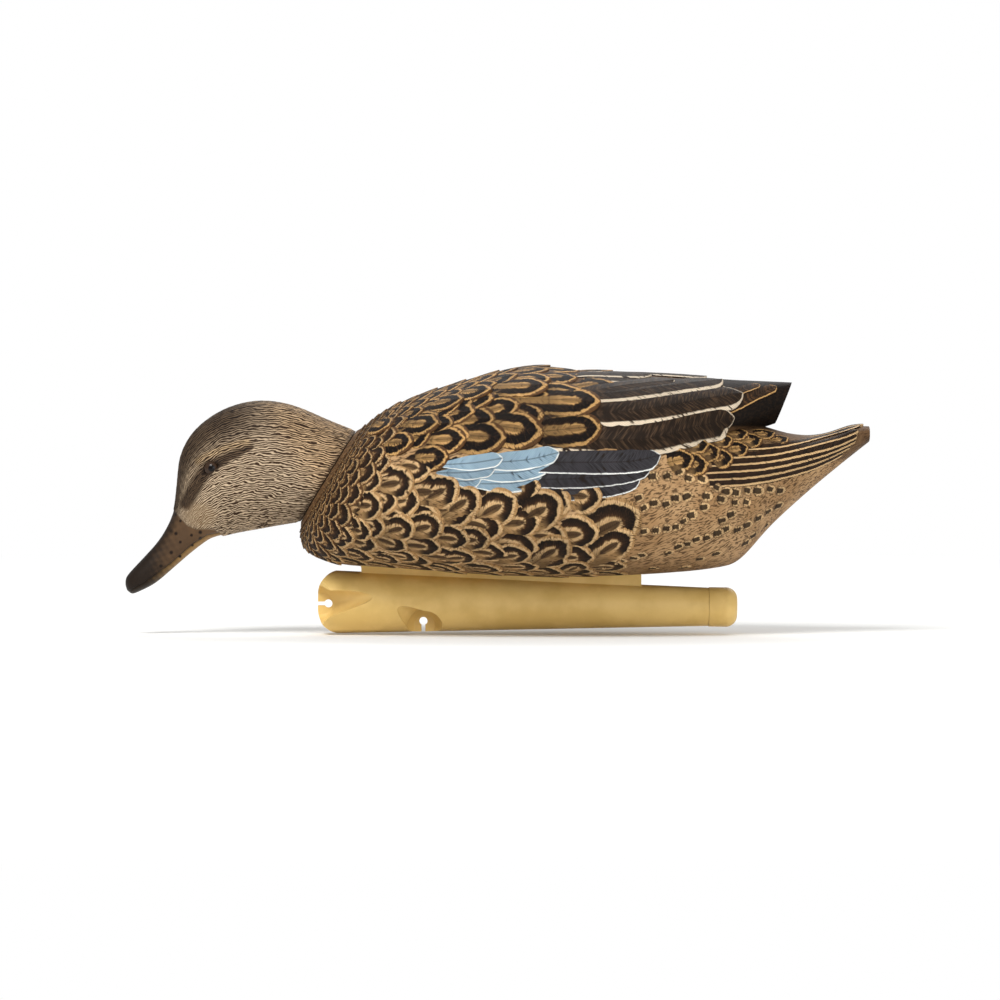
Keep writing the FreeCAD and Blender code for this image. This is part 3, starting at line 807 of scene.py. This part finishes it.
# ---- head
# Centres of the head's cross-sections from the neck seam to the bill, as (x, z, lean in degrees).
HEAD_SPINE = [
    (-74.9, 69.8, 31.4), (-86, 71.3, 25), (-98, 73.7, 15.7), (-110, 74, 7.8),
    (-121, 71.4, 0), (-130, 66, -8), (-135, 59.5, -14.3), (-137.5, 51.9, -16.9),
    (-140.3, 44, -18.3), (-146, 35.7, -24), (-154, 27.8, -27), (-160, 23.2, -27.8),
]
HEAD_RINGS, TIP_RINGS, HEAD_AROUND = 262, 22, 256
SMOOTH_RINGS = 5  # the relief fades in over this many rings, so the seam stays round
HEAD_RADIUS = 21.0  # turns an angle round the head into a length
STROKE_GAP_ALONG, STROKE_GAP_ROUND = 2.2, 1.15
STROKE_RINGS, STROKE_COLUMNS = 15, 4  # how far one stroke reaches over the head's grid
# The neck end behind the seam, as (distance along the neck axis, radius): face, spigot and pilot.
NECK_PROFILE = [
    (0.3, 23.3), (0.3, 9.0), (-5.1, 9.0), (-5.1, 7.45), (-6.9, 7.45), (-6.9, 9.0), (-12.1, 9.0),
    (-12.1, 2.05), (0.4, 2.05),
]
EYE_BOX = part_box("eye_left")
EYE_AT = (EYE_BOX[0] + EYE_BOX[1]) / 2 / MM
EYE_RADIUS = (EYE_BOX[1].x - EYE_BOX[0].x) / 2 / MM
EYE_SINK = 2.4  # the bead's centre lies this far below the cheek
EYE_SLANT = math.radians(32)
EYE_OPENING = (3.5, 1.5)  # half length and half height between the lids
BILL_EDGE = [(-146, 57.5), (-142.8, 54.4), (-136.8, 48.1), (-133, 46.6), (-125, 46.4), (-121.8, 44.2)]
MOUTH = [(-122, 44.4), (-128, 43.2), (-134.3, 39.4), (-144.2, 30.8), (-156, 22.4), (-163, 18.8)]
EYE_LINE = [(-137.6, 57.5), (-134.6, 63), (-130.5, 69.4), (-126.5, 73.6), (-118, 78.4), (-108, 82.6)]
BROW = [(-131.5, 76.5), (-126, 79.4), (-118, 82.6), (-110, 84.8)]
NOSTRIL = (-144.6, 45.6)
BILL_SPOTS = [
    (-140, 50), (-142, 44.4), (-135, 43.6), (-131, 44.9), (-140, 40.6), (-131, 42),
    (-134.6, 38.9), (-144, 36), (-140, 33.9), (-148.6, 30), (-142.3, 53),
]


def along_neck(distance, radius, theta):
    """A point round the neck axis: distance towards the bill from the seam's middle."""
    up = Vector((math.sin(NECK_LEAN), 0, math.cos(NECK_LEAN)))
    out = up * math.cos(theta) + Vector((0, -math.sin(theta), 0))
    return NECK_CENTRE + NECK_AXIS * distance + out * radius


def head_surface():
    """The head's skin as an array of rings of points, from the seam to the bill's tip."""
    spine = np.array(HEAD_SPINE)
    run = np.concatenate([[0.0], np.cumsum(np.hypot(*np.diff(spine[:, :2], axis=0).T))])
    at = np.linspace(0, run[-1], HEAD_RINGS)
    x, z, lean = (np.interp(at, run, spine[:, k]) for k in range(3))
    turns = [(x[k], z[k], lean[k], 0.0) for k in range(HEAD_RINGS)]
    turns += [(x[-1], z[-1], lean[-1], 88.0 * k / TIP_RINGS) for k in range(1, TIP_RINGS + 1)]
    thetas = np.linspace(0, FULL_TURN, HEAD_AROUND, endpoint=False)
    rings = []
    for cx, cz, tilt, dip in turns:
        tilt, dip = math.radians(tilt), math.radians(dip)
        centre = Vector((cx, 0, cz))
        up = Vector((math.sin(tilt), 0, math.cos(tilt)))
        ahead = Vector((-math.cos(tilt), 0, math.sin(tilt)))
        rings.append([skin_from(centre, up, ahead, theta, dip) for theta in thetas])
    return np.array(rings)


def skin_from(centre, up, ahead, theta, dip):
    """Where the head's skin lies in one direction from centre, with the eye sockets filled."""
    out = up * math.cos(theta) + Vector((0, -math.sin(theta), 0))
    out = out * math.cos(dip) + ahead * math.sin(dip)
    place, _, _, _ = HEAD.ray_cast(centre + out * 60, -out)
    cheek = abs(EYE_AT.y) + EYE_SINK
    side = math.copysign(1, place.y)
    if (place - Vector((EYE_AT.x, side * abs(EYE_AT.y), EYE_AT.z))).length < EYE_RADIUS + 0.06:
        place = place + out * ((cheek - abs(place.y)) / max(abs(out.y), 0.3))
    return place


def line_distance(x, z, corners):
    """Distance of each (x, z) from a line drawn through corners."""
    best = np.full(x.shape, 1e9)
    for (x0, z0), (x1, z1) in zip(corners, corners[1:]):
        dx, dz = x1 - x0, z1 - z0
        t = np.clip(((x - x0) * dx + (z - z0) * dz) / (dx * dx + dz * dz), 0, 1)
        best = np.minimum(best, np.hypot(x - x0 - t * dx, z - z0 - t * dz))
    return best


def over_line(x, z, corners):
    """How far (x, z) lies above a line drawn left to right through corners."""
    return z - np.interp(x, [c[0] for c in corners], [c[1] for c in corners])


def head_zones(rings):
    """Painted regions of the head, each 0..1 at every point."""
    x, z = rings[:, :, 0], rings[:, :, 2]
    theta = np.linspace(0, 360, HEAD_AROUND, endpoint=False)
    from_top = 180 - np.abs(theta - 180)
    wave = 3.0 * np.sin(x * 1.9 + z * 1.3) + 2.0 * np.sin(x * 0.7 - z * 2.3)
    before_mouth = 1 - ramp(x, -122.4, -121.2)
    bill = (1 - ramp(over_line(x, z, BILL_EDGE), -0.6, 0.5)) * before_mouth
    lower = ramp(-over_line(x, z, MOUTH[::-1]), -0.15, 0.25) * bill
    crown = (1 - ramp(from_top + wave, 30, 78)) * (1 - 0.75 * ramp(x, -120, -92))
    width = np.interp(x, [-138, -131, -126, -108], [3.0, 3.8, 3.4, 1.2])
    line = 1 - ramp(line_distance(x, z, EYE_LINE), width * 0.5, width * 1.25)
    pale = 1 - ramp(np.hypot((x + 131.0) / 8.5, (z - 52.5) / 7.0), 0.5, 1.1)
    brow = 1 - ramp(line_distance(x, z, BROW), 0.6, 2.6)
    spot = np.zeros(x.shape)
    for k, (sx, sz) in enumerate(BILL_SPOTS):
        spot = np.maximum(spot, 1 - ramp(np.hypot(x - sx, z - sz), 0.45, 0.85 + 0.3 * (k % 2)))
    tip = 1 - ramp(x + 0.35 * wave, -155, -137)
    nape = ramp(x - (SEAM_HEIGHT - z) * SEAM_SLOPE, -92, -74)
    return {
        "bill": bill, "lower": lower, "crown": crown, "line": line, "pale": pale, "brow": brow,
        "spot": spot * bill, "tip": tip, "nape": nape,
    }


def stroke_seeds(rings):
    """Staggered places for the carved strokes, as (ring, column)."""
    seeds = []
    ring_gap = norm(np.diff(rings[:, HEAD_AROUND // 4], axis=0), axis=1).mean()
    step = STROKE_GAP_ALONG / ring_gap
    row, at = 0, 3.0
    while at < HEAD_RINGS:
        ring = rings[int(at)]
        girth = norm(np.roll(ring, -1, axis=0) - ring, axis=1).sum()
        count = max(8, int(girth / STROKE_GAP_ROUND))
        for k in range(count):
            j = (k + 0.5 * (row % 2) + RNG.uniform(-0.15, 0.15)) * HEAD_AROUND / count
            i = at + RNG.uniform(-0.9, 0.9)
            seeds.append((int(min(max(i, 2), HEAD_RINGS - 1)), int(j) % HEAD_AROUND))
        row += 1
        at += step
    return seeds


def carve_strokes(rings, flow, normals):
    """Overlapping short strokes like wet fur: (height 0..1, tint) at every point."""
    height, tint = np.zeros(rings.shape[:2]), np.full(rings.shape[:2], 0.5)
    for i, j in stroke_seeds(rings):
        length = RNG.uniform(5.6, 7.4)
        half = RNG.uniform(0.50, 0.66)
        window = np.ix_(
            np.arange(max(i - 1, 0), min(i + STROKE_RINGS, HEAD_RINGS)),
            np.arange(j - STROKE_COLUMNS, j + STROKE_COLUMNS + 1) % HEAD_AROUND,
        )
        offset = rings[window] - rings[i, j]
        ahead = -flow[i, j]
        beside = np.cross(normals[i, j], ahead)
        v = 1 + (offset @ ahead) / length
        u = (offset @ beside) / half
        body = np.sqrt(np.clip(1 - u * u, 0, 1)) * (0.35 + 0.65 * np.clip(v, 0, 1))
        body = np.where((v < 0) | (v > 1), 0, body) * (1 - ramp(v, 0.86, 1.0) * 0.5)
        higher = body > height[window]
        height[window] = np.where(higher, body, height[window])
        tint[window] = np.where(higher, RNG.random(), tint[window])
    return height, tint


def eye_relief(x, z):
    """Lids that leave an almond opening, and the hollow round them."""
    dx, dz = x - EYE_AT.x, z - EYE_AT.z
    a = dx * math.cos(EYE_SLANT) + dz * math.sin(EYE_SLANT)
    b = dz * math.cos(EYE_SLANT) - dx * math.sin(EYE_SLANT)
    opening = np.hypot(a / EYE_OPENING[0], b / EYE_OPENING[1])
    away = np.hypot(dx, dz)
    bead = np.sqrt(np.clip(EYE_RADIUS ** 2 - away ** 2, 0, None)) - EYE_SINK
    lids = (np.clip(bead, 0, None) + 0.35) * (1 - ramp(away, 2.6, 5.2))
    inside = 1 - ramp(opening, 0.88, 1.08)
    return lids * (1 - inside) - 0.9 * inside, np.clip(1 - np.abs(opening - 1.15) / 0.5, 0, 1)


def unit(vectors):
    return vectors / (norm(vectors, axis=2)[:, :, None] + 1e-9)


def build_head():
    """Carves the head's skin and passes on the zones that its paint follows."""
    rings = head_surface()
    flow = unit(np.gradient(rings, axis=0))
    normals = unit(np.cross(flow, np.roll(rings, -1, axis=1) - np.roll(rings, 1, axis=1)))
    x, z = rings[:, :, 0], rings[:, :, 2]
    zones = head_zones(rings)
    stroke, tint = carve_strokes(rings, flow, normals)
    lids, lid_edge = eye_relief(x, z)
    mouth = np.exp(-(line_distance(x, z, MOUTH) / 0.45) ** 2) * zones["bill"]
    nostril = np.exp(-(np.hypot((x - NOSTRIL[0]) * 0.75, z - NOSTRIL[1]) / 0.9) ** 2)
    off_eye = ramp(np.hypot(x - EYE_AT.x, z - EYE_AT.z), 3.0, 5.0)
    depth = 0.48 - 0.26 * zones["pale"] - 0.20 * zones["crown"]
    relief = (stroke - 0.25) * depth * (1 - zones["bill"]) * off_eye + lids
    relief += 0.55 * zones["brow"] - 0.45 * zones["line"] * off_eye
    relief -= 0.20 * zones["bill"] + 0.25 * zones["lower"]
    relief -= 0.45 * mouth + 0.6 * nostril
    relief *= np.clip(np.arange(len(rings))[:, None] / SMOOTH_RINGS, 0, 1)
    values = dict(zones, stroke=stroke, tint=tint, lid=lid_edge, cleft=mouth + nostril)
    values.update(head_lengths(rings))
    make_head(rings + normals * relief[:, :, None], values)


def head_lengths(rings):
    """How far each point lies round the head from its top, and along the head from the seam."""
    theta = np.linspace(0, FULL_TURN, HEAD_AROUND, endpoint=False)
    turn = math.pi - np.abs(theta - math.pi)
    sweep = np.cumsum(norm(np.gradient(rings.mean(axis=1), axis=0), axis=1))
    shape = rings.shape[:2]
    return {
        "turn": np.broadcast_to(turn * HEAD_RADIUS, shape),
        "sweep": np.broadcast_to(sweep[:, None], shape),
    }


def make_head(points, values):
    """One closed mesh: the carved skin, the tip, and the neck's face and spigot behind the seam."""
    thetas = np.linspace(0, FULL_TURN, HEAD_AROUND, endpoint=False)
    neck = [[along_neck(d, r, theta) for theta in thetas] for d, r in reversed(NECK_PROFILE)]
    rings = np.concatenate([np.array(neck), points])
    count = len(rings)
    flat = [tuple(p) for p in rings.reshape(-1, 3)]
    faces = []
    for i in range(count - 1):
        for j in range(HEAD_AROUND):
            k = (j + 1) % HEAD_AROUND
            a, b = i * HEAD_AROUND, (i + 1) * HEAD_AROUND
            faces.append((a + j, a + k, b + k, b + j))
    start, end = len(flat), len(flat) + 1
    flat += [tuple(rings[0].mean(axis=0)), tuple(rings[-1].mean(axis=0))]
    last = (count - 1) * HEAD_AROUND
    for j in range(HEAD_AROUND):
        k = (j + 1) % HEAD_AROUND
        faces.append((start, k, j))
        faces.append((end, last + j, last + k))
    made = mesh_object("head_carving", flat, faces)
    before = len(NECK_PROFILE) * HEAD_AROUND
    for name, grid in values.items():
        column = np.concatenate([np.zeros(before), grid.ravel(), [0.0], grid[-1, :1]])
        point_values(made.data, name, column)
    finish_piece(made, head_paint(values), "head", 70)
    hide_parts("head_shell")


def head_paint(zone_names):
    """Carved buff plumage, dark crown and eye line, and a spotted brown bill."""
    tree = Tree("head_paint")
    zone = {name: tree.value(name) for name in zone_names}
    fine = tree.noise(tree.place(), 1500.0)
    cloud = tree.noise(tree.place(), 90.0)
    strand = tree.strands(zone["turn"], zone["sweep"], 0.95)
    colour = tree.coats(
        head_plumage(tree, zone, cloud, strand),
        (zone["lid"] * 0.9, srgb(34, 24, 17)),
        (zone["bill"], bill_colour(tree, zone, cloud, fine)),
        (tree.math("MULTIPLY", zone["cleft"], 0.8, clamp=True), srgb(30, 22, 16)),
    )
    carved = tree.step(strand, -1.2, 1.2) * (1.0 - zone["bill"])
    tree.bump(carved + fine * 0.4, 0.25, 0.6)
    return tree.finish(colour, 0.62 - zone["bill"] * 0.16 + fine * 0.08)


def head_plumage(tree, zone, cloud, strand):
    """Light strands with dark gaps between them."""
    buff = tree.mix(tree.step(cloud, 0.35, 0.65), srgb(200, 169, 131), srgb(176, 146, 110))
    light = tree.coats(
        srgb(186, 164, 136),
        (zone["nape"], buff),
        (zone["pale"], srgb(172, 152, 124)),
        (zone["brow"] * 0.55, srgb(206, 172, 124)),
        (zone["crown"] * 0.92, srgb(64, 47, 32)),
        (zone["line"] * 0.92, srgb(66, 47, 32)),
    )
    dark = tree.coats(
        srgb(50, 34, 22),
        (zone["crown"], srgb(22, 15, 11)),
        (zone["line"], srgb(26, 18, 12)),
        (zone["pale"], srgb(104, 80, 56)),
    )
    crest = tree.step(strand + (zone["stroke"] - 0.6) * 0.9, -0.40, 0.90)
    share = tree.math("ADD", crest, (zone["tint"] - 0.5) * 0.3, clamp=True)
    return tree.mix(share, dark, light)


def bill_colour(tree, zone, cloud, fine):
    """Brown, darker on top and at the tip, and ochre below the mouth, with dark spots."""
    return tree.coats(
        srgb(102, 77, 53),
        (tree.step(cloud, 0.3, 0.7), srgb(82, 62, 44)),
        (zone["crown"] * 0.9, srgb(40, 30, 22)),
        (zone["lower"] * 0.85, srgb(156, 122, 74)),
        (zone["tip"] * 0.97, srgb(24, 19, 16)),
        (fine * 0.25, srgb(60, 46, 34)),
        (zone["spot"], srgb(26, 18, 13)),
    )


def eye_glass():
    """A dark brown iris round a black pupil, under clear gloss."""
    tree = Tree("eye_glass")
    x, _, z = tree.split(tree.place())
    dx, dz = x - EYE_AT.x * MM, z - EYE_AT.z * MM
    away = tree.math("SQRT", dx * dx + dz * dz)
    grain = tree.noise(tree.place(), 2500.0, 2.0)
    iris = tree.mix(grain, srgb(40, 28, 20), srgb(64, 47, 34))
    colour = tree.mix(tree.step(away, 1.3 * MM, 1.6 * MM), srgb(8, 6, 6), iris)
    tree.bump(grain, 0.01, 0.2)
    return tree.finish(colour, 0.16 + grain * 0.10, gloss=0.15)


build_head()


# ---- CAD nodes that stay
def plain_skin(name, base, dark, roughness, metal=0.0, grain_depth=0.08):
    """Moulded plastic, rubber or metal with soft mottling and a fine grain."""
    tree = Tree(name)
    cloud = tree.noise(tree.place(), 70.0, 4.0)
    fine = tree.noise(tree.place(), 900.0)
    colour = tree.coats(base, (tree.step(cloud, 0.35, 0.65), dark), (fine * 0.25, dark))
    tree.bump(fine, grain_depth, 0.5)
    return tree.finish(colour, roughness - 0.06 + cloud * 0.12, 0.3, metal)


def plumage_skin():
    """The moulded body between the relief feathers: buff, with fine dark hairs along it."""
    tree = Tree("body_skin")
    x, y, z = (part / MM for part in tree.split(tree.place()))
    cloud = tree.noise(tree.place(), 55.0)
    slant = z + cloud * 9.0 - x * 0.30
    lines = tree.noise(tree.vector(x / 3.6, y, slant / 0.62), 1.0, 2.0)
    seam = tree.step(x + (SEAM_HEIGHT - z) * SEAM_SLOPE, -66.0, -72.0)
    tail = tree.step(x, 90.0, 97.0) * tree.step(z - x * 0.20, 45.5, 47.5)
    wing_tip = tree.step(x, 90.0, 96.0) * tree.step(x, 142.0, 138.0) * tree.step(z, 91.0, 92.5)
    hair = tree.step(lines + seam * 0.06, 0.49, 0.60)
    colour = tree.coats(
        BUFF,
        (tree.step(cloud, 0.35, 0.65), BUFF_SHADE),
        (tree.step(z, 38.0, 27.0) * 0.65, srgb(96, 70, 46)),  # painted shade under the bird
        (tree.step(z, 84.0, 100.0), srgb(84, 60, 38)),  # along the back
        (seam * 0.8, srgb(92, 66, 42)),
        (tail * 0.75, srgb(70, 50, 33)),
        (wing_tip, srgb(18, 13, 10)),
        (tree.step(x, 160.5, 161.5), srgb(92, 68, 46)),  # the tail's end
        (hair * 0.85, tree.mix(wing_tip, srgb(62, 43, 27), UMBER)),
    )
    tree.bump(1.0 - lines, 0.35, 0.7)
    return tree.finish(colour, 0.58 + cloud * 0.12)


def dress(node, material):
    for slot in NODES[node].material_slots:
        slot.material = material


def dress_fittings():
    """The keel, seals and screws: nodes, base and dark colour, roughness, metal and grain depth."""
    for name, nodes, base, dark, *surface in (
        ("keel_plastic", ("keel_tube", "keel_end_cap"), (226, 192, 120), (210, 175, 102), 0.42),
        ("seal_rubber", ("neck_seal", "keel_cap_seal", "vent_plug"), (38, 36, 35), (24, 23, 22), 0.70),
        ("zinc_steel", ("neck_screw", "neck_washer", "keel_screws"), (170, 172, 172), (128, 130, 130),
         0.34, 1.0, 0.03),
        ("collar_plastic", ("neck_collar",), (52, 46, 40), (38, 33, 29), 0.45),
        ("cast_iron", ("keel_ballast",), (74, 70, 66), (92, 62, 44), 0.66, 0.8, 0.25),
    ):
        skin = plain_skin(name, srgb(*base), srgb(*dark), *surface)
        for node in nodes:
            dress(node, skin)


dress("body_shell", plumage_skin())
glass = eye_glass()
dress("eye_left", glass)
dress("eye_right", glass)
dress_fittings()


# ---- studio
def light_world():
    """White as the backdrop, and softer than that as light."""
    bpy.context.scene.view_settings.view_transform = "Standard"
    world = bpy.data.worlds.new("studio")
    bpy.context.scene.world = world
    world.use_nodes = True
    nodes, links = world.node_tree.nodes, world.node_tree.links
    background = nodes["Background"]
    background.inputs["Color"].default_value = (1, 1, 1, 1)
    ray = nodes.new("ShaderNodeLightPath")
    strength = nodes.new("ShaderNodeMapRange")
    strength.inputs["To Min"].default_value = 0.42
    strength.inputs["To Max"].default_value = 1.0
    links.new(ray.outputs["Is Camera Ray"], strength.inputs["Value"])
    links.new(strength.outputs[0], background.inputs["Strength"])


def build_floor():
    """Pale paper that fades to pure white away from the bird."""
    bpy.ops.mesh.primitive_circle_add(
        vertices=96, radius=1.6, fill_type="NGON", location=(0, 0, CAD_BOX[0].z - 0.0005))
    floor = bpy.context.object
    floor.name = "studio_floor"
    tree = Tree("floor_paper")
    tree.finish(srgb(238, 238, 236), 0.9)
    white = tree.nodes.new("ShaderNodeEmission")
    join = tree.nodes.new("ShaderNodeMixShader")
    tree.feed(join.inputs[0], tree.step(tree.length(tree.place()), 0.35, 1.3))
    tree.links.new(tree.surface.outputs[0], join.inputs[1])
    tree.links.new(white.outputs[0], join.inputs[2])
    tree.links.new(join.outputs[0], tree.nodes["Material Output"].inputs["Surface"])
    floor.data.materials.append(tree.material)


def aimed_object(name, data, place, target):
    """A lamp or camera at place that looks at target."""
    made = new_object(name, data)
    made.location = place
    made.rotation_euler = (target - place).to_track_quat("-Z", "Y").to_euler()
    return made


def build_lamps():
    for name, place, size, power in (
        ("key", (-0.6, -1.4, 1.7), 1.0, 46),
        ("fill", (0.9, -1.7, 0.35), 1.2, 13),
        ("back", (0.2, 1.4, 1.4), 1.4, 20),
    ):
        light = bpy.data.lights.new(name, "AREA")
        light.size, light.energy = size, power
        aimed_object(name, light, Vector(place), Vector((0, 0, 0.06)))


def build_camera():
    """A long lens, square on to the bird's left side and a little above the floor."""
    target = Vector((0.0015, 0, 0.0591))
    away, frame_width = 2.6, 0.444
    data = bpy.data.cameras.new("camera")
    data.sensor_width = 36
    data.lens = data.sensor_width * away / frame_width
    rise = math.radians(1.0)
    place = target + Vector((0, -math.cos(rise), math.sin(rise))) * away
    bpy.context.scene.camera = aimed_object("camera", data, place, target)


light_world()
build_floor()
build_lamps()
build_camera()
